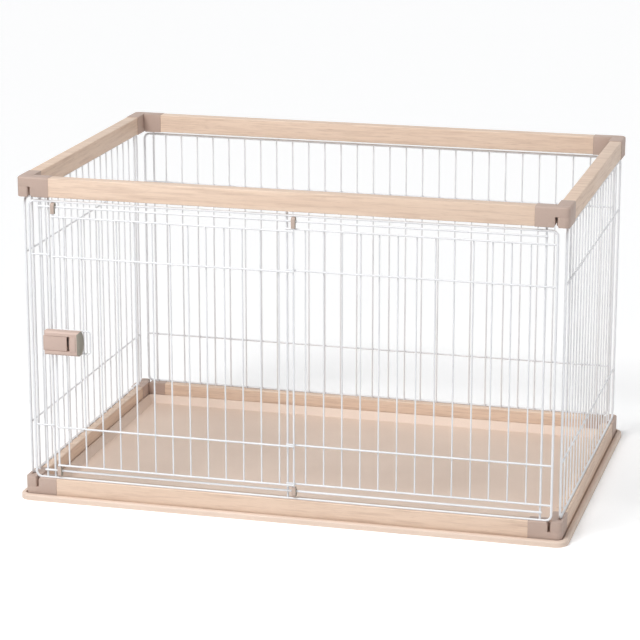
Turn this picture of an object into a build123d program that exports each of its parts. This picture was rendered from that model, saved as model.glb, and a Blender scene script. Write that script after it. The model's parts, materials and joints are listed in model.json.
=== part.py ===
from build123d import *
import math
import os

os.makedirs("parts", exist_ok=True)

# All lengths are in millimetres
# The origin is under the middle of the tray, +X runs along the front to the right,
# +Y runs from the front to the back and +Z points up

# Size of the pen over its rails
pen_length = 1200.0
pen_depth = 792.0
panel_height = 625.5

# Corner caps and rails
cap_height = 43.0
cap_width = 30.0
cap_reach = 72.5
cap_bevel = 2.5
corner_round = 12.0
knuckle_height = 22.5
tongue_reach = 19.7
lap_gap = 0.3
slot_width = 5.0
knuckle_width = 25.7
knuckle_round = 5.0
mouth_flare = 2.8
mouth_rise = 6.0
key_width = 7.0
key_length = 8.0
key_fit = 0.3
spigot_length = 38.0
spigot_fit = 0.3
spigot_taper = 1.0
rail_inset = 0.8
rail_wall = 2.5
rail_bevel = 1.6

# Wires, measured across their flats
frame_wire = 5.0
post_wire = 4.5
guide_wire = 4.5
cross_wire = 4.0
grille_wire = 3.2
weld_setback = 11.0
frame_inset = 24.5
frame_bend = 12.0
long_post_step = 24.5
short_post_step = 31.5
strike_post_step = 42.5
grille_pitch = 40.0
least_wire_gap = 15.0
wire_overhang = 1.2
seat_depth = 2.0
seat_fit = 0.3
head_gap = 6.0
post_plug = 12.0
post_fit = 0.3
cross_low_height = 121.0
cross_high_drop = 118.5
guide_low_height = 17.0
guide_high_drop = 12.0
guide_overhang = 4.0
fixed_low_height = 33.5
fixed_high_drop = 29.2

# Sliding door
door_weld_setback = 2.4
door_left_step = 13.0
door_overlap = 16.0
door_first_step = 24.0
door_edge_height = 32.2
door_cross_height = 120.0
stile_tip_high = 13.0
stile_tip_low = 9.0

# Hooks that carry the door on its guide wires
hook_width = 9.0
hook_fit = 0.3
hook_front = 0.6
hook_back_wall = 2.5
hook_tail = 4.5
hook_bevel = 2.9
hook_socket_back = 8.4
hook_socket_start = 5.0
high_hook_head = 6.3
high_hook_reach = 14.5
low_hook_head = 8.5
low_hook_reach = 10.5

# Latch on the left edge of the door
latch_low_height = 290.7
latch_overhang = 18.5
latch_length = 79.5
latch_height = 53.1
latch_depth = 20.5
latch_setback = -1.5
latch_bulge = 5.5
latch_front_bevel = 3.5
latch_end_reach = 5.0
latch_end_flat = 7.0
latch_pad_width = 12.0
latch_pad_step = 1.5
latch_pad_rise = 1.2
latch_ledge_depth = 7.0
latch_ledge_gap = 2.4
lever_length = 49.4
lever_slot = 6.8
lever_height = 33.0
lever_thickness = 4.0
lever_recess = 0.8
lever_side_gap = 0.3
lever_back_wall = 3.5
lever_arm = 4.5
lever_arm_overhang = 1.7
lever_nose_gap = 0.5
lever_nose_height = 16.0
lever_boss_radius = 4.5
pin_radius = 2.0
pin_fit = 0.06
pin_step = 23.5
pin_setback = -11.0
pin_length = 43.0
spring_thickness = 0.6
spring_height = 14.0
spring_gap = 0.4
spring_tip_rise = 4.2
loop_wire = 3.2
loop_height = 51.0
loop_reach = 80.0
loop_bend = 6.0
plate_step = 23.5
plate_length = 55.0
plate_height = 31.0
plate_setback = 6.5
plate_thickness = 2.2
boss_radius = 4.0
first_boss_step = 30.0
boss_pitch = 32.5

# Tray
tray_overhang = 13.0
tray_rim_height = 13.0
tray_corner_round = 28.0
tray_edge_round = 5.0
groove_depth = 5.5
groove_outer_gap = 3.0
groove_inner_gap = 1.2
lip_height = 21.0
lip_width = 3.0
lip_corner_round = 10.0
pan_floor = 3.0
pan_slope = 34.0
under_wall = 3.0
under_floor = 3.0
under_width = 50.0
under_rib = 2.5
under_long_bays = 4
under_short_bays = 3

# Heights and places that follow from the sizes above
half_length = pen_length / 2
half_depth = pen_depth / 2
groove_floor = tray_rim_height - groove_depth
lower_top = groove_floor + cap_height
frame_low = lower_top - seat_depth + frame_wire / 2
frame_high = frame_low + panel_height
upper_bottom = frame_high + frame_wire / 2 + head_gap
rail_height = cap_height - 2 * rail_inset
rail_width = cap_width - 2 * rail_inset
frame_setback = weld_setback - frame_wire / 2
post_setback = weld_setback + post_wire / 2
guide_setback = weld_setback - guide_wire / 2
cross_setback = weld_setback - cross_wire / 2
grille_setback = weld_setback + grille_wire / 2
seat_width = frame_wire + 2 * seat_fit
post_low = lower_top - post_plug
post_high = upper_bottom + post_plug
post_socket = post_wire + 2 * post_fit
octagon_turn = 22.5
bend_steps = 3


def bar_section(across):
    # A wire's section is an octagon with flats to the front, back, top and bottom, so
    # that crossing wires meet flat on flat where they are welded
    RegularPolygon(across / 2, 8, major_radius=False, rotation=octagon_turn)


def upright_wires(places, low, high, across):
    # Wires that stand along Z, at each (x, y) place
    with BuildSketch(Plane.XY.offset(low)) as section:
        with Locations(*places):
            bar_section(across)
    extrude(section.sketch, amount=high - low)


def level_wires(places, left, right, across):
    # Wires that lie along X, at each (y, z) place
    with BuildSketch(Plane.YZ.offset(left)) as section:
        with Locations(*places):
            bar_section(across)
    extrude(section.sketch, amount=right - left)


def bend_points(x, z, first_angle, bend):
    # Points along a quarter turn round (x, z), seen from the front
    turns = [math.radians(first_angle + 90 * i / bend_steps) for i in range(bend_steps + 1)]
    return [(x + bend * math.cos(turn), z + bend * math.sin(turn)) for turn in turns]


def bent_wire(points, setback, across):
    # One wire through (x, z) points in the plane y = setback
    with BuildLine() as path:
        Polyline(*[(x, setback, z) for x, z in points])
    start = Plane(path.line @ 0, x_dir=(0, 1, 0), z_dir=path.line % 0)
    with BuildSketch(start) as section:
        bar_section(across)
    sweep(section.sketch, path=path.line, transition=Transition.RIGHT)


def make_frame(half_span):
    # One wire bent round the edge of a panel, joined in the middle of its foot
    x = half_span - frame_bend
    low = frame_low + frame_bend
    high = frame_high - frame_bend
    with BuildPart() as frame:
        bent_wire(
            [(0, frame_low)]
            + bend_points(x, low, -90, frame_bend)
            + bend_points(x, high, 0, frame_bend)
            + bend_points(-x, high, 90, frame_bend)
            + bend_points(-x, low, 180, frame_bend)
            + [(0, frame_low)],
            frame_setback,
            frame_wire,
        )
    return frame.part


def save(shape, name, place=Location()):
    with BuildPart() as placed:
        with Locations(place):
            add(shape)
    placed.part.label = name
    export_step(placed.part, f"parts/{name}.step")
    return placed.part


# Where each side of the pen stands: a piece is drawn lying along the front with its outer
# face on y = 0, then turned and moved to its own side
side_places = {
    "front": Location((0, -half_depth, 0), (0, 0, 0)),
    "back": Location((0, half_depth, 0), (0, 0, 180)),
    "right": Location((half_length, 0, 0), (0, 0, 90)),
    "left": Location((-half_length, 0, 0), (0, 0, -90)),
}
side_half_spans = {
    "front": half_length,
    "back": half_length,
    "right": half_depth,
    "left": half_depth,
}


# Rails: hollow bars with a seat for the frame wire on the side that faces the wires
def make_rail(half_span, middle_post):
    half_rail = half_span - cap_reach
    with BuildPart() as rail:
        with BuildSketch(Plane.YZ.offset(-half_rail)) as section:
            with Locations((cap_width / 2, cap_height / 2)):
                Rectangle(rail_width, rail_height)
                chamfer(section.vertices(), rail_bevel)
                Rectangle(
                    rail_width - 2 * rail_wall,
                    rail_height - 2 * rail_wall,
                    mode=Mode.SUBTRACT,
                )
            with Locations((frame_setback, seat_depth / 2)):
                Rectangle(seat_width, seat_depth, mode=Mode.SUBTRACT)
        extrude(amount=2 * half_rail)
        if middle_post:
            with BuildSketch(Plane.XY):
                with Locations((0, post_setback)):
                    bar_section(post_socket)
            extrude(amount=rail_inset + rail_wall, mode=Mode.SUBTRACT)
    return rail.part


for side, place in side_places.items():
    bar = make_rail(side_half_spans[side], side == "front")
    save(bar, f"upper_{side}_rail", Location((0, 0, upper_bottom)) * place)
    flipped = mirror(bar, about=Plane.XY)
    save(flipped, f"lower_{side}_rail", Location((0, 0, lower_top)) * place)

# Corner caps, drawn with the outer corner of the pen on the Z axis, the long side of the
# pen along +X, the short side along +Y and the side that faces the wires on z = 0
body_start = knuckle_width + slot_width
spigot_width = rail_width - 2 * rail_wall - 2 * spigot_fit
spigot_height = rail_height - 2 * rail_wall - 2 * spigot_fit
cap_middle_height = cap_height / 2
key_place = (knuckle_width / 2, tongue_reach / 2)
long_post_place = frame_inset + long_post_step
short_post_place = frame_inset + short_post_step
strike_post_place = frame_inset + strike_post_step


def make_long_cap(post_places):
    with BuildPart() as cap:
        # The body closes the end of the long rail
        with BuildSketch(Plane.XY):
            with Locations((body_start, 0)):
                Rectangle(
                    cap_reach - body_start, cap_width, align=(Align.MIN, Align.MIN)
                )
        extrude(amount=cap_height)
        # The tongue laps over the knuckle of the short side
        with BuildSketch(Plane.XY.offset(knuckle_height)):
            Rectangle(body_start, tongue_reach, align=(Align.MIN, Align.MIN))
        extrude(amount=cap_height - knuckle_height)
        front_uprights = cap.edges().filter_by(Axis.Z).group_by(Axis.Y)[0]
        fillet(front_uprights.sort_by(Axis.X)[0], corner_round)
        top_edges = cap.faces().sort_by(Axis.Z)[-1].edges()
        chamfer(top_edges.filter_by(lambda e: e.center().Y < 1 or e.center().X < 5), cap_bevel)
        foot_edges = cap.faces().sort_by(Axis.Z)[0].edges()
        chamfer(foot_edges.filter_by(lambda e: e.center().Y < 1), rail_bevel)
        # The mouth of the slot is flared
        with BuildSketch(Plane.XZ):
            with BuildLine():
                Polyline(
                    (body_start, mouth_rise),
                    (body_start, 0),
                    (body_start + mouth_flare, 0),
                    close=True,
                )
            make_face()
        extrude(amount=-cap_width, mode=Mode.SUBTRACT)
        # A key under the tongue drops into the knuckle
        with BuildSketch(Plane.XY.offset(knuckle_height)):
            with Locations(key_place):
                Rectangle(key_width, key_width)
        extrude(amount=-key_length)
        # The spigot plugs the hollow of the rail
        with BuildSketch(Plane.YZ.offset(cap_reach)):
            with Locations((cap_width / 2, cap_middle_height)):
                Rectangle(spigot_width, spigot_height)
        extrude(amount=spigot_length, taper=spigot_taper)
        # Seat for the frame wire and sockets for the posts
        with BuildSketch(Plane.XY):
            with Locations((body_start, frame_setback)):
                Rectangle(
                    cap_reach - body_start, seat_width, align=(Align.MIN, Align.CENTER)
                )
        extrude(amount=seat_depth, mode=Mode.SUBTRACT)
        with BuildSketch(Plane.XY):
            with Locations(*[(x, post_setback) for x in post_places]):
                bar_section(post_socket)
        extrude(amount=post_plug, mode=Mode.SUBTRACT)
    return cap.part


with BuildPart() as short_cap:
    # The body closes the end of the short rail, behind the tongue
    body_end = tongue_reach + lap_gap
    with BuildSketch(Plane.XY):
        with Locations((0, body_end)):
            Rectangle(cap_width, cap_reach - body_end, align=(Align.MIN, Align.MIN))
    extrude(amount=cap_height)
    # The knuckle fills the corner under the tongue
    with BuildSketch(Plane.XY):
        Rectangle(knuckle_width, body_end, align=(Align.MIN, Align.MIN))
    extrude(amount=knuckle_height)
    knuckle_edges = short_cap.edges().filter_by(Axis.Z).group_by(Axis.Y)[0]
    fillet(knuckle_edges.sort_by(Axis.X)[0], corner_round)
    knuckle_edges = short_cap.edges().filter_by(Axis.Z).group_by(Axis.Y)[0]
    fillet(knuckle_edges.sort_by(Axis.X)[-1], knuckle_round)
    top_edges = short_cap.faces().sort_by(Axis.Z)[-1].edges()
    chamfer(top_edges.filter_by(lambda e: e.center().X < 1), cap_bevel)
    # The mouth of the slot is flared
    with BuildSketch(Plane.XZ):
        with BuildLine():
            Polyline(
                (knuckle_width, mouth_rise),
                (knuckle_width, 0),
                (knuckle_width - mouth_flare, 0),
                close=True,
            )
        make_face()
    extrude(amount=-body_end, mode=Mode.SUBTRACT)
    # The socket for the key
    with BuildSketch(Plane.XY.offset(knuckle_height)):
        with Locations(key_place):
            Rectangle(key_width + 2 * key_fit, key_width + 2 * key_fit)
    extrude(amount=-(key_length + key_fit), mode=Mode.SUBTRACT)
    # The spigot plugs the hollow of the rail
    with BuildSketch(Plane.XZ.offset(-cap_reach)):
        with Locations((cap_width / 2, cap_middle_height)):
            Rectangle(spigot_width, spigot_height)
    extrude(amount=-spigot_length, taper=spigot_taper)
    # Seat for the frame wire and socket for the post
    with BuildSketch(Plane.XY):
        with Locations((frame_setback, body_end)):
            Rectangle(seat_width, cap_reach - body_end, align=(Align.CENTER, Align.MIN))
    extrude(amount=seat_depth, mode=Mode.SUBTRACT)
    with BuildSketch(Plane.XY):
        with Locations((post_setback, short_post_place)):
            bar_section(post_socket)
    extrude(amount=post_plug, mode=Mode.SUBTRACT)

plain_long_cap = make_long_cap([long_post_place])
strike_long_cap = make_long_cap([long_post_place, strike_post_place])

for y_name, y_sign in (("front", -1), ("back", 1)):
    for x_name, x_sign in (("left", -1), ("right", 1)):
        is_strike = y_sign < 0 and x_sign < 0
        corner_long_cap = strike_long_cap if is_strike else plain_long_cap
        corner = (x_sign * half_length, y_sign * half_depth)
        for cap, kind in ((corner_long_cap, "long"), (short_cap.part, "short")):
            shaped = cap
            if x_sign > 0:
                shaped = mirror(shaped, about=Plane.YZ)
            if y_sign > 0:
                shaped = mirror(shaped, about=Plane.XZ)
            name = f"{y_name}_{x_name}_{kind}_cap"
            save(shaped, f"upper_{name}", Location((*corner, upper_bottom)))
            turned = mirror(shaped, about=Plane.XY)
            save(turned, f"lower_{name}", Location((*corner, lower_top)))

# The closed sides: a bent frame, and a grille of thin upright wires, two level cross wires
# and two stouter posts that plug into the caps above and below
cross_heights = (frame_low + cross_low_height, frame_high - cross_high_drop)
grille_low = frame_low - wire_overhang
grille_high = frame_high + wire_overhang


def wire_places(first, last):
    # Thin wires one pitch apart from first, as far as the stouter wire at last allows
    count = int((last - least_wire_gap - first) / grille_pitch) + 1
    return [first + grille_pitch * i for i in range(count)]


def make_grille(half_span, post_step, middle_step):
    # The wires stand alike on both sides of the middle, the first middle_step away from it
    post_at = half_span - post_step
    cross_end = half_span - frame_wire / 2
    right_places = wire_places(middle_step, post_at)
    left_places = [-x for x in right_places if x > 0]
    with BuildPart() as grille:
        level_wires(
            [(cross_setback, z) for z in cross_heights], -cross_end, cross_end, cross_wire
        )
        upright_wires(
            [(x, grille_setback) for x in left_places + right_places],
            grille_low,
            grille_high,
            grille_wire,
        )
        upright_wires(
            [(-post_at, post_setback), (post_at, post_setback)],
            post_low,
            post_high,
            post_wire,
        )
    return grille.part


long_half_span = half_length - frame_inset
short_half_span = half_depth - frame_inset
long_frame = make_frame(long_half_span)
short_frame = make_frame(short_half_span)
short_grille = make_grille(short_half_span, short_post_step, grille_pitch / 2)
for side in ("left", "right"):
    save(short_frame, f"{side}_frame", side_places[side])
    save(short_grille, f"{side}_grille", side_places[side])
back_grille = make_grille(long_half_span, long_post_step, 0)
save(back_grille, "back_grille", side_places["back"])
save(long_frame, "back_frame", side_places["back"])

# The front is a bent frame with a doorway in its left half
front = side_places["front"]
edge_post_at = long_half_span - long_post_step
strike_post_at = -long_half_span + strike_post_step
frame_inner = long_half_span - frame_wire / 2
guide_heights = (frame_low + guide_low_height, frame_high - guide_high_drop)
fixed_heights = (frame_low + fixed_low_height, frame_high - fixed_high_drop)

save(long_frame, "front_frame", front)

with BuildPart() as guide_wires:
    guide_end = edge_post_at + guide_overhang
    level_wires(
        [(guide_setback, z) for z in guide_heights], -guide_end, guide_end, guide_wire
    )
save(guide_wires.part, "guide_wires", front)

# Two posts beside the doorway, which the latch closes against, and the short wires that
# tie them to the frame
with BuildPart() as strike_posts:
    upright_wires(
        [(-edge_post_at, post_setback), (strike_post_at, post_setback)],
        post_low,
        post_high,
        post_wire,
    )
save(strike_posts.part, "strike_posts", front)

with BuildPart() as strike_ties:
    level_wires(
        [(cross_setback, z) for z in cross_heights],
        -frame_inner,
        strike_post_at + post_wire / 2,
        cross_wire,
    )
save(strike_ties.part, "strike_ties", front)

# The fixed right half of the front
with BuildPart() as fixed_grille:
    level_wires(
        [(cross_setback, z) for z in cross_heights + fixed_heights],
        -post_wire / 2,
        frame_inner,
        cross_wire,
    )
    upright_wires(
        [(x, grille_setback) for x in wire_places(grille_pitch, edge_post_at)],
        fixed_heights[0] - wire_overhang,
        fixed_heights[1] + wire_overhang,
        grille_wire,
    )
    upright_wires(
        [(0, post_setback), (edge_post_at, post_setback)], post_low, post_high, post_wire
    )
save(fixed_grille.part, "fixed_grille", front)

# The sliding door, in its closed place in front of the doorway
door_left = strike_post_at + door_left_step
door_right = door_overlap
door_low = frame_low + door_edge_height
door_high = frame_high - door_edge_height
door_cross_setback = door_weld_setback - cross_wire / 2
stile_setback = door_weld_setback + cross_wire / 2
door_grille_setback = door_weld_setback + grille_wire / 2
door_heights = (
    door_low,
    frame_low + door_cross_height,
    frame_high - door_cross_height,
    door_high,
)
latch_low = frame_low + latch_low_height
latch_middle = latch_low + latch_height / 2
loop_setback = door_weld_setback - loop_wire / 2
loop_low = latch_middle - loop_height / 2
loop_high = latch_middle + loop_height / 2
loop_right = door_left + loop_reach
first_grille = door_left + door_first_step

with BuildPart() as door:
    level_wires(
        [(door_cross_setback, z) for z in door_heights],
        door_left - cross_wire / 2,
        door_right + cross_wire / 2,
        cross_wire,
    )
    upright_wires(
        [(door_left, stile_setback), (door_right, stile_setback)],
        door_low - stile_tip_low,
        door_high + stile_tip_high,
        cross_wire,
    )
    upright_wires(
        [(x, door_grille_setback) for x in wire_places(first_grille, door_right)],
        door_low - wire_overhang,
        door_high + wire_overhang,
        grille_wire,
    )
    # A bent wire that the latch is clamped over
    bent_wire(
        [(door_left, loop_low)]
        + bend_points(loop_right - loop_bend, loop_low + loop_bend, -90, loop_bend)
        + bend_points(loop_right - loop_bend, loop_high - loop_bend, 0, loop_bend)
        + [(door_left, loop_high)],
        loop_setback,
        loop_wire,
    )
save(door.part, "door", front)

# Hooks round the guide wires, pushed over the tips of the door's stiles, drawn with the
# guide wire on z = 0 and the door below
slot_half = guide_wire / 2 + hook_fit
slot_front = guide_setback - slot_half
slot_back = guide_setback + slot_half
hook_back = slot_back + hook_back_wall


def make_hook(head, reach, stile_end):
    head_top = slot_half + head
    socket_width = cross_wire + 2 * hook_fit
    with BuildPart() as hook:
        with BuildSketch(Plane.YZ.offset(-hook_width / 2)):
            with BuildLine():
                Polyline(
                    (hook_front, -reach),
                    (hook_socket_back, -reach),
                    (hook_socket_back, -hook_socket_start),
                    (slot_front, -slot_half),
                    (slot_front, slot_half),
                    (slot_back, slot_half),
                    (slot_back, -hook_tail),
                    (hook_back, -hook_tail),
                    (hook_back, head_top - hook_bevel),
                    (hook_back - hook_bevel, head_top),
                    (hook_front + hook_bevel, head_top),
                    (hook_front, head_top - hook_bevel),
                    close=True,
                )
            make_face()
        extrude(amount=hook_width)
        with BuildSketch(Plane.XY.offset(-reach)):
            with Locations((0, stile_setback)):
                Rectangle(socket_width, socket_width)
        extrude(amount=reach - stile_end, mode=Mode.SUBTRACT)
    return hook.part


high_stile_end = guide_heights[1] - door_high - stile_tip_high
low_stile_end = door_low - guide_heights[0] - stile_tip_low
high_hook = make_hook(high_hook_head, high_hook_reach, high_stile_end)
low_hook = mirror(make_hook(low_hook_head, low_hook_reach, low_stile_end), about=Plane.XY)
for x_name, x in (("left", door_left), ("right", door_right)):
    save(high_hook, f"upper_{x_name}_hook", front * Location((x, 0, guide_heights[1])))
    save(low_hook, f"lower_{x_name}_hook", front * Location((x, 0, guide_heights[0])))

# The latch: a housing in front of the door, clamped to a plate behind it
latch_left = door_left - latch_overhang
latch_right = latch_left + latch_length
latch_high = latch_low + latch_height
latch_front = latch_setback - latch_depth
lever_low = latch_middle - lever_height / 2
lever_high = latch_middle + lever_height / 2
lever_left = latch_left - lever_arm_overhang
lever_right = lever_left + lever_length + lever_arm
lever_front = latch_front + lever_recess
lever_back = lever_front + lever_thickness
cavity_right = lever_right + lever_slot
cavity_back = latch_setback - lever_back_wall
pin_at = (latch_left + pin_step, pin_setback)
boss_places = [
    (latch_left + first_boss_step, latch_middle),
    (latch_left + first_boss_step + boss_pitch, latch_middle),
]

with BuildPart() as latch_housing:
    # The front silhouette ends in a shallow bulge on the right
    with BuildSketch(Plane.XZ.offset(-latch_setback)):
        with BuildLine():
            Polyline(
                (latch_right, latch_high),
                (latch_left, latch_high),
                (latch_left, latch_low),
                (latch_right, latch_low),
            )
            ThreePointArc(
                (latch_right, latch_low),
                (latch_right + latch_bulge, latch_middle),
                (latch_right, latch_high),
            )
        make_face()
    extrude(amount=latch_depth)
    front_edges = latch_housing.faces().sort_by(Axis.Y)[0].edges()
    chamfer(front_edges, latch_front_bevel)
    # The right end is rounded back from the front
    end_start = latch_right - latch_end_reach
    end_stop = latch_right + latch_bulge
    end_back = latch_setback - latch_end_flat
    end_middle = ((2 * end_stop + end_start) / 3, (2 * latch_front + end_back) / 3)
    with BuildSketch(Plane.XY.offset(latch_low)):
        with BuildLine():
            ThreePointArc((end_start, latch_front), end_middle, (end_stop, end_back))
            Polyline((end_stop, end_back), (end_stop, latch_front), (end_start, latch_front))
        make_face()
    extrude(amount=latch_height, mode=Mode.SUBTRACT)
    # A raised pad beside the finger slot
    with BuildSketch(Plane.XZ.offset(-latch_front)):
        with Locations((cavity_right + latch_pad_step, latch_middle)):
            Rectangle(latch_pad_width, lever_height, align=(Align.MIN, Align.CENTER))
    extrude(amount=latch_pad_rise)
    # The well that the lever rocks in
    with BuildSketch(Plane.XZ.offset(-cavity_back)):
        with Locations((cavity_right, latch_middle)):
            Rectangle(
                cavity_right - lever_left,
                lever_height + 2 * lever_side_gap,
                align=(Align.MAX, Align.CENTER),
            )
    extrude(amount=latch_depth, mode=Mode.SUBTRACT)
    # A ledge half way down the finger slot
    with BuildSketch(Plane.XZ.offset(-cavity_back)):
        with Locations((cavity_right, latch_middle)):
            Rectangle(
                lever_slot - latch_ledge_gap,
                lever_height + 2 * lever_side_gap,
                align=(Align.MAX, Align.CENTER),
            )
    extrude(amount=latch_depth - lever_back_wall - latch_ledge_depth)
    # The side is cut back where the lever's arm passes
    with BuildSketch(Plane.XZ.offset(-latch_setback)):
        with Locations((lever_left + lever_arm + lever_side_gap, latch_middle)):
            Rectangle(
                lever_arm * 2,
                lever_height + 2 * lever_side_gap,
                align=(Align.MAX, Align.CENTER),
            )
    extrude(amount=lever_back_wall, mode=Mode.SUBTRACT)
    # Bosses that reach through the door to the plate
    with BuildSketch(Plane.XZ.offset(-latch_setback)):
        with Locations(*boss_places):
            Circle(boss_radius)
    extrude(amount=-(plate_setback - latch_setback))
    # Holes for the pin
    with BuildSketch(Plane.XY.offset(latch_middle - pin_length / 2)):
        with Locations(pin_at):
            Circle(pin_radius + pin_fit)
    extrude(amount=pin_length, mode=Mode.SUBTRACT)
save(latch_housing.part, "latch_housing", front)

with BuildPart() as latch_plate:
    with BuildSketch(Plane.XZ.offset(-plate_setback)):
        with Locations((latch_left + plate_step, latch_middle)):
            Rectangle(plate_length, plate_height, align=(Align.MIN, Align.CENTER))
    extrude(amount=-plate_thickness)
    chamfer(latch_plate.edges().filter_by(Axis.Y), plate_thickness)
save(latch_plate.part, "latch_plate", front)

with BuildPart() as latch_pin:
    with BuildSketch(Plane.XY.offset(latch_middle - pin_length / 2)):
        with Locations(pin_at):
            Circle(pin_radius)
    extrude(amount=pin_length)
save(latch_pin.part, "latch_pin", front)

with BuildPart() as latch_lever:
    # The thumb plate
    with BuildSketch(Plane.XZ.offset(-lever_back)):
        with Locations((lever_left, latch_middle)):
            Rectangle(
                lever_right - lever_left, lever_height, align=(Align.MIN, Align.CENTER)
            )
    extrude(amount=lever_thickness)
    # The arm reaches back beside the housing and narrows to a nose
    nose_end = weld_setback - lever_nose_gap
    with BuildSketch(Plane.YZ.offset(lever_left)):
        with BuildLine():
            Polyline(
                (lever_back, lever_low),
                (latch_setback, lever_low),
                (nose_end, latch_middle - lever_nose_height / 2),
                (nose_end, latch_middle + lever_nose_height / 2),
                (latch_setback, lever_high),
                (lever_back, lever_high),
                close=True,
            )
        make_face()
    extrude(amount=lever_arm)
    # A knuckle round the pin, joined to the back of the plate
    with BuildSketch(Plane.XY.offset(lever_low)):
        with Locations(pin_at):
            Circle(lever_boss_radius)
            with Locations((0, (lever_back - pin_setback) / 2)):
                Rectangle(2 * lever_boss_radius, pin_setback - lever_back)
            Circle(pin_radius + pin_fit, mode=Mode.SUBTRACT)
    extrude(amount=lever_height)
save(latch_lever.part, "latch_lever", front)

# A folded leaf spring lies on the floor of the well behind the plate, drawn pressed flat
# as it is when the lever is pushed in
spring_left = pin_at[0] + lever_boss_radius + spring_gap
spring_right = lever_right - spring_gap
spring_floor = cavity_back - spring_thickness
spring_tip = cavity_back - spring_tip_rise

with BuildPart() as latch_spring:
    with BuildSketch(Plane.XY.offset(latch_middle - spring_height / 2)):
        with BuildLine():
            Polyline(
                (spring_left, cavity_back),
                (spring_right, cavity_back),
                (spring_right, spring_floor),
                (spring_left + 2 * spring_thickness, spring_floor),
                (spring_right - 2 * spring_thickness, spring_tip),
                (spring_right - 3 * spring_thickness, spring_tip - spring_thickness),
                (spring_left, spring_floor - spring_thickness / 2),
                close=True,
            )
        make_face()
    extrude(amount=spring_height)
save(latch_spring.part, "latch_spring", front)

# The tray: a rim with a groove for the rails, a lip inside them and a sunk pan
tray_length = pen_length + 2 * tray_overhang
tray_depth = pen_depth + 2 * tray_overhang
lip_inset = cap_width + groove_inner_gap
lip_length = pen_length - 2 * lip_inset
lip_depth = pen_depth - 2 * lip_inset

with BuildPart() as tray:
    with BuildSketch(Plane.XY):
        RectangleRounded(tray_length, tray_depth, tray_corner_round)
    extrude(amount=tray_rim_height)
    fillet(tray.faces().sort_by(Axis.Z)[-1].edges(), tray_edge_round)
    with BuildSketch(Plane.XY.offset(groove_floor)):
        RectangleRounded(
            pen_length + 2 * groove_outer_gap,
            pen_depth + 2 * groove_outer_gap,
            corner_round + groove_outer_gap,
        )
    extrude(amount=tray_rim_height - groove_floor, mode=Mode.SUBTRACT)
    with BuildSketch(Plane.XY.offset(groove_floor)):
        RectangleRounded(lip_length, lip_depth, lip_corner_round)
    extrude(amount=lip_height - groove_floor)
    with BuildSketch(Plane.XY.offset(lip_height)):
        RectangleRounded(
            lip_length - 2 * lip_width,
            lip_depth - 2 * lip_width,
            lip_corner_round + lip_width,
        )
    extrude(amount=pan_floor - lip_height, taper=pan_slope, mode=Mode.SUBTRACT)
    # Shallow bays between ribs on the underside of the rim
    bay_height = groove_floor - under_floor
    bay_length = (tray_length - 2 * under_width) / under_long_bays
    bay_depth = (tray_depth - 2 * under_width) / under_short_bays
    bay_inset = under_wall + under_width / 2
    with BuildSketch(Plane.XY):
        with GridLocations(bay_length, tray_depth - 2 * bay_inset, under_long_bays, 2):
            Rectangle(bay_length - under_rib, under_width - under_rib)
        with GridLocations(tray_length - 2 * bay_inset, bay_depth, 2, under_short_bays):
            Rectangle(under_width - under_rib, bay_depth - under_rib)
    extrude(amount=bay_height, mode=Mode.SUBTRACT)
save(tray.part, "tray")
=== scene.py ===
import json
import math

import bpy
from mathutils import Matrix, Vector


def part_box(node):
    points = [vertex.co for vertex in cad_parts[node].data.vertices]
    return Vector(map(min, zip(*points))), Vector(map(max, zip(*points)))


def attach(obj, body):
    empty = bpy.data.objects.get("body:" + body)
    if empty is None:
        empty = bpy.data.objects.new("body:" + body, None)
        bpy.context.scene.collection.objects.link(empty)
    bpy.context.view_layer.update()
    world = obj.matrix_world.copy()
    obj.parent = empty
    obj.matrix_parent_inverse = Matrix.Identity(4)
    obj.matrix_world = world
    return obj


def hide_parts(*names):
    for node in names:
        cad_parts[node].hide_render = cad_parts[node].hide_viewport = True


# Lengths are in metres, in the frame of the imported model

# Camera, solved from the straight rails of the photograph; angles are in degrees
camera_place = (1.3928, -5.3513, 1.8515)
camera_tilt = 74.78
camera_turn = 14.89
camera_lens = 141.88
camera_sensor = 36.0

# Light
sky_strength = 0.30
sky_tint = (0.97, 0.98, 1.0, 1)
seen_white = (1, 1, 1, 1)
key_strength = 1.65
key_tilt = (38.0, 0.0, -34.0)
key_softness = 22.0
fill_strength = 0.65
fill_tilt = (62.0, 0.0, 62.0)
fill_softness = 60.0
side_power = 11.5
side_place = (-0.9, -1.9, 1.9)
side_aim = (-0.3, 0.0, 0.4)
side_size = 0.7

# Stage
floor_reach = 30.0
floor_shade = (0.94, 0.94, 0.94, 1)
floor_glow = 0.22
floor_roughness = 0.9

# Softened edges
cap_edge = 0.0020
rail_edge = 0.0010
latch_edge = 0.0012
hook_edge = 0.0006
edge_steps = 3
flat_angle = math.radians(0.5)
edge_angle = math.radians(28)
smooth_angle = math.radians(34)
wire_smooth_angle = math.radians(52)
merge_distance = 1e-6

# Faces that look this far to the right are coloured a darker grey, painted shade on that
# side of a piece
right_facing = 0.35
up_facing = 0.5

# Screws on the back of the latch
screw_head_radius = 0.0030
screw_head_height = 0.0014
screw_sides = 32
screw_rim = 0.0005
screw_recess_radius = 0.0013
screw_recess_depth = 0.0007
screw_steps_from_plate_left = (0.0065, 0.0390)

# Finishes: noise scales are in waves a metre, relief depths in metres
grain_band_scale = 26
grain_streak_scale = 150
grain_pore_scale = 620
grain_stretch = 0.05
grain_relief = 0.25
grain_depth = 0.0002
plastic_drift_scale = 5
plastic_speck_scale = 220
plastic_pebble_scale = 900
plastic_relief = 0.2
large_part_depth = 0.0002
small_part_depth = 0.0001
tray_pebble_scale = 600
tray_relief = 0.25
coat_drift_scale = 12
coat_ripple_scale = 420
coat_relief = 0.15
coat_depth = 0.0001
steel_line_scale = 2500
steel_line_stretch = 0.08
steel_relief = 0.1
steel_depth = 0.00005

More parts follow.
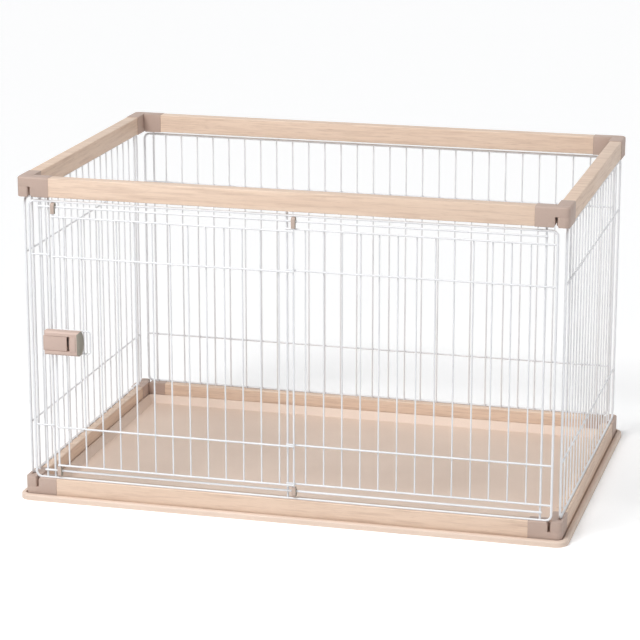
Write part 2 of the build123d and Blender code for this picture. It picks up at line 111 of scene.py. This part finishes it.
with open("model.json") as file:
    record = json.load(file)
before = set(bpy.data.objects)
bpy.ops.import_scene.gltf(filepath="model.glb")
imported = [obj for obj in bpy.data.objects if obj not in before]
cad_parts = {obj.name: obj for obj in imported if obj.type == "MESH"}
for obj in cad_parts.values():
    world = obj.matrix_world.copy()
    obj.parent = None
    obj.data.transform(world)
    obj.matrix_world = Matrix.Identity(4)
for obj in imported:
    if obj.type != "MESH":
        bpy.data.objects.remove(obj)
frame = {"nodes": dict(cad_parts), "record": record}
bpy.ops.object.select_all(action="DESELECT")
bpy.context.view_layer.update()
node_body = {
    node: body
    for body, nodes in frame["record"]["behaviour"]["bodies"].items()
    for node in nodes
}
nodes = list(node_body)


def shade(red, green, blue):
    # A colour as a paint chart gives it, from 0 to 255, in the shader's own scale
    def linear(level):
        level = level / 255
        return level / 12.92 if level <= 0.04045 else ((level + 0.055) / 1.055) ** 2.4

    return (linear(red), linear(green), linear(blue), 1)


# Shader groups


def new_group(name, inputs, outputs):
    group = bpy.data.node_groups.new(name, "ShaderNodeTree")
    for label, kind, value in inputs:
        socket = group.interface.new_socket(label, in_out="INPUT", socket_type=kind)
        socket.default_value = value
    for label, kind in outputs:
        group.interface.new_socket(label, in_out="OUTPUT", socket_type=kind)
    entry = group.nodes.new("NodeGroupInput")
    leave = group.nodes.new("NodeGroupOutput")
    entry.location = (-900, 0)
    leave.location = (700, 0)
    return group, entry, leave


def add_noise(group, vector, scale, detail, roughness, place):
    noise = group.nodes.new("ShaderNodeTexNoise")
    noise.inputs["Scale"].default_value = scale
    noise.inputs["Detail"].default_value = detail
    noise.inputs["Roughness"].default_value = roughness
    noise.location = place
    group.links.new(vector, noise.inputs["Vector"])
    return noise.outputs["Fac"]


def add_range(group, value, low, high, to_low, to_high, place):
    spread = group.nodes.new("ShaderNodeMapRange")
    spread.inputs["From Min"].default_value = low
    spread.inputs["From Max"].default_value = high
    spread.inputs["To Min"].default_value = to_low
    spread.inputs["To Max"].default_value = to_high
    spread.location = place
    group.links.new(value, spread.inputs["Value"])
    return spread.outputs["Result"]


def add_mix(group, factor, first, second, place):
    mix = group.nodes.new("ShaderNodeMix")
    mix.data_type = "RGBA"
    mix.location = place
    group.links.new(factor, mix.inputs["Factor"])
    group.links.new(first, mix.inputs["A"])
    group.links.new(second, mix.inputs["B"])
    return mix.outputs["Result"]


def make_wood_film_group():
    # Fine printed grain: broad bands, narrow streaks and short pores, drawn along X
    group, entry, leave = new_group(
        "wood film",
        [
            ("Vector", "NodeSocketVector", (0, 0, 0)),
            ("Light", "NodeSocketColor", (1, 1, 1, 1)),
            ("Middle", "NodeSocketColor", (0.8, 0.8, 0.8, 1)),
            ("Dark", "NodeSocketColor", (0.5, 0.5, 0.5, 1)),
        ],
        [
            ("Color", "NodeSocketColor"),
            ("Roughness", "NodeSocketFloat"),
            ("Height", "NodeSocketFloat"),
        ],
    )
    vector = entry.outputs["Vector"]
    bands = add_noise(group, vector, grain_band_scale, 4, 0.55, (-650, 250))
    streaks = add_noise(group, vector, grain_streak_scale, 6, 0.68, (-650, 0))
    pores = add_noise(group, vector, grain_pore_scale, 3, 0.6, (-650, -250))
    band_mask = add_range(group, bands, 0.36, 0.68, 0, 0.75, (-400, 250))
    streak_mask = add_range(group, streaks, 0.47, 0.76, 0, 0.7, (-400, 0))
    pore_mask = add_range(group, pores, 0.56, 0.74, 0, 0.5, (-400, -250))
    base = add_mix(
        group, band_mask, entry.outputs["Light"], entry.outputs["Middle"], (-100, 250)
    )
    streaked = add_mix(group, streak_mask, base, entry.outputs["Dark"], (100, 150))
    finished = add_mix(group, pore_mask, streaked, entry.outputs["Dark"], (300, 50))
    group.links.new(finished, leave.inputs["Color"])
    roughness = add_range(group, streaks, 0.3, 0.7, 0.42, 0.56, (100, -150))
    group.links.new(roughness, leave.inputs["Roughness"])
    height = add_range(group, streaks, 0.3, 0.7, 1, 0, (100, -350))
    group.links.new(height, leave.inputs["Height"])
    return group


def make_moulded_group():
    # Spark-textured plastic: a fine pebble and a slow drift in tone
    group, entry, leave = new_group(
        "moulded plastic",
        [
            ("Vector", "NodeSocketVector", (0, 0, 0)),
            ("Light", "NodeSocketColor", (1, 1, 1, 1)),
            ("Dark", "NodeSocketColor", (0.9, 0.9, 0.9, 1)),
            ("Pebble Scale", "NodeSocketFloat", plastic_pebble_scale),
        ],
        [
            ("Color", "NodeSocketColor"),
            ("Roughness", "NodeSocketFloat"),
            ("Height", "NodeSocketFloat"),
        ],
    )
    vector = entry.outputs["Vector"]
    drift = add_noise(group, vector, plastic_drift_scale, 3, 0.5, (-650, 250))
    specks = add_noise(group, vector, plastic_speck_scale, 3, 0.6, (-650, 0))
    pebble = add_noise(group, vector, plastic_pebble_scale, 2, 0.5, (-650, -250))
    group.links.new(entry.outputs["Pebble Scale"], pebble.node.inputs["Scale"])
    drift_mask = add_range(group, drift, 0.3, 0.7, 0, 0.8, (-400, 250))
    speck_mask = add_range(group, specks, 0.45, 0.75, 0, 0.35, (-400, 0))
    base = add_mix(
        group, drift_mask, entry.outputs["Light"], entry.outputs["Dark"], (-100, 250)
    )
    finished = add_mix(group, speck_mask, base, entry.outputs["Dark"], (150, 150))
    group.links.new(finished, leave.inputs["Color"])
    roughness = add_range(group, pebble, 0.3, 0.7, 0.46, 0.60, (100, -150))
    group.links.new(roughness, leave.inputs["Roughness"])
    group.links.new(pebble, leave.inputs["Height"])
    return group


def make_coating_group():
    # Powder coat on wire: a faint ripple and slightly uneven gloss
    group, entry, leave = new_group(
        "powder coat",
        [
            ("Vector", "NodeSocketVector", (0, 0, 0)),
            ("Light", "NodeSocketColor", (1, 1, 1, 1)),
            ("Dark", "NodeSocketColor", (0.9, 0.9, 0.9, 1)),
        ],
        [
            ("Color", "NodeSocketColor"),
            ("Roughness", "NodeSocketFloat"),
            ("Height", "NodeSocketFloat"),
        ],
    )
    vector = entry.outputs["Vector"]
    drift = add_noise(group, vector, coat_drift_scale, 3, 0.5, (-650, 250))
    ripple = add_noise(group, vector, coat_ripple_scale, 2, 0.5, (-650, -100))
    drift_mask = add_range(group, drift, 0.35, 0.7, 0, 1, (-400, 250))
    finished = add_mix(
        group, drift_mask, entry.outputs["Light"], entry.outputs["Dark"], (-100, 250)
    )
    group.links.new(finished, leave.inputs["Color"])
    roughness = add_range(group, ripple, 0.3, 0.7, 0.30, 0.42, (100, -100))
    group.links.new(roughness, leave.inputs["Roughness"])
    group.links.new(ripple, leave.inputs["Height"])
    return group


def make_brushed_group():
    # Drawn steel: fine lines along Z
    group, entry, leave = new_group(
        "drawn steel",
        [
            ("Vector", "NodeSocketVector", (0, 0, 0)),
            ("Light", "NodeSocketColor", (1, 1, 1, 1)),
            ("Dark", "NodeSocketColor", (0.9, 0.9, 0.9, 1)),
        ],
        [
            ("Color", "NodeSocketColor"),
            ("Roughness", "NodeSocketFloat"),
            ("Height", "NodeSocketFloat"),
        ],
    )
    stretch = group.nodes.new("ShaderNodeMapping")
    stretch.inputs["Scale"].default_value = (1, 1, steel_line_stretch)
    stretch.location = (-700, -100)
    group.links.new(entry.outputs["Vector"], stretch.inputs["Vector"])
    lines = add_noise(
        group, stretch.outputs["Vector"], steel_line_scale, 3, 0.6, (-500, 0)
    )
    line_mask = add_range(group, lines, 0.35, 0.7, 0, 1, (-250, 100))
    finished = add_mix(
        group, line_mask, entry.outputs["Light"], entry.outputs["Dark"], (0, 200)
    )
    group.links.new(finished, leave.inputs["Color"])
    roughness = add_range(group, lines, 0.3, 0.7, 0.25, 0.42, (0, -100))
    group.links.new(roughness, leave.inputs["Roughness"])
    group.links.new(lines, leave.inputs["Height"])
    return group


wood_film = make_wood_film_group()
moulded_plastic = make_moulded_group()
powder_coat = make_coating_group()
drawn_steel = make_brushed_group()


def make_material(name, group, colours, relief, depth, stretch=(1, 1, 1), metallic=0.0):
    # The group's colour, roughness and height drive the shader, in the object's own space
    material = bpy.data.materials.new(name)
    material.use_nodes = True
    tree = material.node_tree
    shader = tree.nodes["Principled BSDF"]
    shader.inputs["Metallic"].default_value = metallic
    place = tree.nodes.new("ShaderNodeTexCoord")
    place.location = (-900, 0)
    mapping = tree.nodes.new("ShaderNodeMapping")
    mapping.location = (-700, 0)
    mapping.inputs["Scale"].default_value = stretch
    effect = tree.nodes.new("ShaderNodeGroup")
    effect.node_tree = group
    effect.location = (-480, 0)
    for label, value in colours.items():
        effect.inputs[label].default_value = value
    bump = tree.nodes.new("ShaderNodeBump")
    bump.location = (-240, -200)
    bump.inputs["Strength"].default_value = relief
    bump.inputs["Distance"].default_value = depth
    tree.links.new(place.outputs["Object"], mapping.inputs["Vector"])
    tree.links.new(mapping.outputs["Vector"], effect.inputs["Vector"])
    tree.links.new(effect.outputs["Color"], shader.inputs["Base Color"])
    tree.links.new(effect.outputs["Roughness"], shader.inputs["Roughness"])
    tree.links.new(effect.outputs["Height"], bump.inputs["Height"])
    tree.links.new(bump.outputs["Normal"], shader.inputs["Normal"])
    return material


rail_colours = {
    "Light": shade(234, 209, 188),
    "Middle": shade(222, 195, 173),
    "Dark": shade(190, 160, 140),
}
rail_wood_long = make_material(
    "rail wood with its grain left to right",
    wood_film,
    rail_colours,
    grain_relief,
    grain_depth,
    (grain_stretch, 1, 1),
)
rail_wood_short = make_material(
    "rail wood with its grain front to back",
    wood_film,
    rail_colours,
    grain_relief,
    grain_depth,
    (1, grain_stretch, 1),
)
cap_plastic = make_material(
    "cap plastic",
    moulded_plastic,
    {"Light": shade(194, 171, 158), "Dark": shade(180, 157, 145)},
    plastic_relief,
    large_part_depth,
)
tray_plastic = make_material(
    "tray plastic",
    moulded_plastic,
    {
        "Light": shade(230, 209, 193),
        "Dark": shade(219, 197, 181),
        "Pebble Scale": tray_pebble_scale,
    },
    tray_relief,
    large_part_depth,
)
wire_coat = make_material(
    "white wire coat",
    powder_coat,
    {"Light": shade(238, 239, 241), "Dark": shade(229, 230, 232)},
    coat_relief,
    coat_depth,
)
hook_plastic = make_material(
    "hook plastic",
    moulded_plastic,
    {"Light": shade(200, 180, 168), "Dark": shade(184, 165, 153)},
    plastic_relief,
    small_part_depth,
)
latch_plastic = make_material(
    "latch plastic",
    moulded_plastic,
    {"Light": shade(208, 183, 171), "Dark": shade(194, 170, 158)},
    plastic_relief,
    small_part_depth,
)
lever_plastic = make_material(
    "lever plastic",
    moulded_plastic,
    {"Light": shade(203, 178, 166), "Dark": shade(190, 167, 155)},
    plastic_relief,
    small_part_depth,
)
plate_plastic = make_material(
    "latch plate plastic",
    moulded_plastic,
    {"Light": shade(186, 164, 150), "Dark": shade(174, 153, 140)},
    plastic_relief,
    small_part_depth,
)
# A darker grey: painted shade for the faces of the hooks and the latch housing that look
# right
painted_shade_plastic = make_material(
    "plastic with painted shade",
    moulded_plastic,
    {"Light": shade(156, 151, 139), "Dark": shade(138, 133, 122)},
    plastic_relief,
    small_part_depth,
)
steel = make_material(
    "drawn steel",
    drawn_steel,
    {"Light": shade(196, 196, 198), "Dark": shade(160, 160, 164)},
    steel_relief,
    steel_depth,
    metallic=1.0,
)


# Pieces taken over from the solids


def take_over(node, material, edge, angle):
    # A merged copy of the solid, with its sharp edges softened where edge isn't zero
    piece = frame["nodes"][node].copy()
    piece.data = frame["nodes"][node].data.copy()
    piece.name = f"{node}_finish"
    piece.parent = None
    piece.matrix_world.identity()
    bpy.context.scene.collection.objects.link(piece)
    bpy.context.view_layer.objects.active = piece
    piece.select_set(True)
    bpy.ops.mesh.customdata_custom_splitnormals_clear()
    bpy.ops.object.mode_set(mode="EDIT")
    bpy.ops.mesh.select_all(action="SELECT")
    bpy.ops.mesh.remove_doubles(threshold=merge_distance)
    if edge:
        bpy.ops.mesh.dissolve_limited(angle_limit=flat_angle)
    bpy.ops.object.mode_set(mode="OBJECT")
    if edge:
        bevel = piece.modifiers.new("softened edges", "BEVEL")
        bevel.width = edge
        bevel.segments = edge_steps
        bevel.limit_method = "ANGLE"
        bevel.angle_limit = edge_angle
        bpy.ops.object.modifier_apply(modifier=bevel.name)
    bpy.ops.object.shade_smooth_by_angle(angle=angle)
    piece.select_set(False)
    piece.data.materials.clear()
    piece.data.materials.append(material)
    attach(piece, node_body[node])
    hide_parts(node)
    return piece


def paint_shade_on_right_faces(piece):
    # The side that looks right gets a darker grey: painted shade
    piece.data.materials.append(painted_shade_plastic)
    for face in piece.data.polygons:
        if face.normal.x > right_facing:
            face.material_index = 1


def grain_across_the_top(piece):
    # The film on top of a side rail has its grain across the rail
    piece.data.materials.append(rail_wood_long)
    for face in piece.data.polygons:
        if face.normal.z > up_facing:
            face.material_index = 1


for node in nodes:
    if node.endswith("_cap"):
        take_over(node, cap_plastic, cap_edge, smooth_angle)
    elif node.endswith(("front_rail", "back_rail")):
        take_over(node, rail_wood_long, rail_edge, smooth_angle)
    elif node.endswith("_rail"):
        grain_across_the_top(take_over(node, rail_wood_short, rail_edge, smooth_angle))
    # The hooks get painted shade on the faces that look right
    elif node.endswith("_hook"):
        paint_shade_on_right_faces(take_over(node, hook_plastic, hook_edge, smooth_angle))
    elif node == "tray":
        take_over(node, tray_plastic, 0, smooth_angle)
    # The latch housing gets painted shade on the faces that look right
    elif node == "latch_housing":
        paint_shade_on_right_faces(take_over(node, latch_plastic, latch_edge, smooth_angle))
    elif node == "latch_lever":
        take_over(node, lever_plastic, latch_edge, smooth_angle)
    elif node == "latch_plate":
        take_over(node, plate_plastic, latch_edge, smooth_angle)
    elif node in ("latch_pin", "latch_spring"):
        take_over(node, steel, 0, smooth_angle)
    else:
        take_over(node, wire_coat, 0, wire_smooth_angle)


# Screws that clamp the latch's plate to its housing


def make_screw(name, place):
    # A pan head with a rounded rim and a sunk round recess, facing back
    bpy.ops.mesh.primitive_cylinder_add(
        vertices=screw_sides,
        radius=screw_head_radius,
        depth=screw_head_height,
        location=place,
        rotation=(-math.pi / 2, 0, 0),
    )
    screw = bpy.context.object
    screw.name = name
    bpy.ops.object.transform_apply(location=True, rotation=True, scale=True)
    back = max(vertex.co.y for vertex in screw.data.vertices)
    bpy.ops.object.mode_set(mode="EDIT")
    bpy.ops.mesh.select_all(action="DESELECT")
    bpy.ops.object.mode_set(mode="OBJECT")
    for face in screw.data.polygons:
        face.select = abs(face.center.y - back) < merge_distance
    bpy.ops.object.mode_set(mode="EDIT")
    bpy.ops.mesh.select_mode(type="FACE")
    bpy.ops.mesh.inset(thickness=screw_head_radius - screw_recess_radius)
    bpy.ops.mesh.extrude_region_move(
        TRANSFORM_OT_translate={"value": (0, -screw_recess_depth, 0)}
    )
    bpy.ops.object.mode_set(mode="OBJECT")
    bevel = screw.modifiers.new("rounded rim", "BEVEL")
    bevel.width = screw_rim
    bevel.segments = edge_steps
    bevel.limit_method = "ANGLE"
    bpy.ops.object.modifier_apply(modifier=bevel.name)
    bpy.ops.object.shade_smooth_by_angle(angle=smooth_angle)
    screw.select_set(False)
    screw.data.materials.append(steel)
    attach(screw, node_body["latch_plate"])


plate_low, plate_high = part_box("latch_plate")
for count, step in enumerate(screw_steps_from_plate_left, 1):
    make_screw(
        f"latch_screw_{count}",
        (
            plate_low.x + step,
            plate_high.y + screw_head_height / 2,
            (plate_low.z + plate_high.z) / 2,
        ),
    )


# Stage, light and camera


def make_floor():
    # A wide pale floor, which only the camera sees glowing a little
    bpy.ops.mesh.primitive_plane_add(size=2 * floor_reach, location=(0, 0, 0))
    floor = bpy.context.object
    floor.name = "floor"
    material = bpy.data.materials.new("pale floor")
    material.use_nodes = True
    shader = material.node_tree.nodes["Principled BSDF"]
    shader.inputs["Base Color"].default_value = floor_shade
    shader.inputs["Roughness"].default_value = floor_roughness
    shader.inputs["Specular IOR Level"].default_value = 0.0
    shader.inputs["Emission Color"].default_value = seen_white
    rays = material.node_tree.nodes.new("ShaderNodeLightPath")
    glow = material.node_tree.nodes.new("ShaderNodeMath")
    glow.operation = "MULTIPLY"
    glow.inputs[1].default_value = floor_glow
    material.node_tree.links.new(rays.outputs["Is Camera Ray"], glow.inputs[0])
    material.node_tree.links.new(glow.outputs[0], shader.inputs["Emission Strength"])
    floor.data.materials.append(material)
    floor.select_set(False)


def make_sky():
    # A soft sky that looks plain white to the camera and in reflections
    world = bpy.data.worlds.new("studio")
    bpy.context.scene.world = world
    world.use_nodes = True
    tree = world.node_tree
    tree.nodes.clear()
    leave = tree.nodes.new("ShaderNodeOutputWorld")
    sky = tree.nodes.new("ShaderNodeBackground")
    sky.inputs["Color"].default_value = sky_tint
    sky.inputs["Strength"].default_value = sky_strength
    seen = tree.nodes.new("ShaderNodeBackground")
    seen.inputs["Color"].default_value = seen_white
    seen.inputs["Strength"].default_value = 1.0
    rays = tree.nodes.new("ShaderNodeLightPath")
    camera_or_gloss = tree.nodes.new("ShaderNodeMath")
    camera_or_gloss.operation = "ADD"
    camera_or_gloss.use_clamp = True
    mix = tree.nodes.new("ShaderNodeMixShader")
    tree.links.new(rays.outputs["Is Camera Ray"], camera_or_gloss.inputs[0])
    tree.links.new(rays.outputs["Is Glossy Ray"], camera_or_gloss.inputs[1])
    tree.links.new(camera_or_gloss.outputs[0], mix.inputs[0])
    tree.links.new(sky.outputs[0], mix.inputs[1])
    tree.links.new(seen.outputs[0], mix.inputs[2])
    tree.links.new(mix.outputs[0], leave.inputs["Surface"])


def make_sun(name, strength, tilt, softness):
    # A distant lamp; softness is the angle that it fills
    light = bpy.data.lights.new(name, "SUN")
    light.energy = strength
    light.angle = math.radians(softness)
    sun = bpy.data.objects.new(name, light)
    sun.rotation_euler = [math.radians(angle) for angle in tilt]
    bpy.context.scene.collection.objects.link(sun)


def make_side_lamp():
    # A small soft lamp near the front left corner
    light = bpy.data.lights.new("side lamp", "AREA")
    light.energy = side_power
    light.size = side_size
    lamp = bpy.data.objects.new("side lamp", light)
    lamp.location = side_place
    aim = Vector(side_aim) - Vector(side_place)
    lamp.rotation_euler = aim.to_track_quat("-Z", "Y").to_euler()
    bpy.context.scene.collection.objects.link(lamp)


def make_camera():
    # The camera that took the photograph
    data = bpy.data.cameras.new("camera")
    data.sensor_width = camera_sensor
    data.lens = camera_lens
    camera = bpy.data.objects.new("camera", data)
    camera.location = camera_place
    camera.rotation_euler = (math.radians(camera_tilt), 0, math.radians(camera_turn))
    bpy.context.scene.collection.objects.link(camera)
    bpy.context.scene.camera = camera


make_floor()
make_sky()
make_sun("key light", key_strength, key_tilt, key_softness)
make_sun("fill light", fill_strength, fill_tilt, fill_softness)
make_side_lamp()
make_camera()
bpy.context.scene.view_settings.view_transform = "Standard"
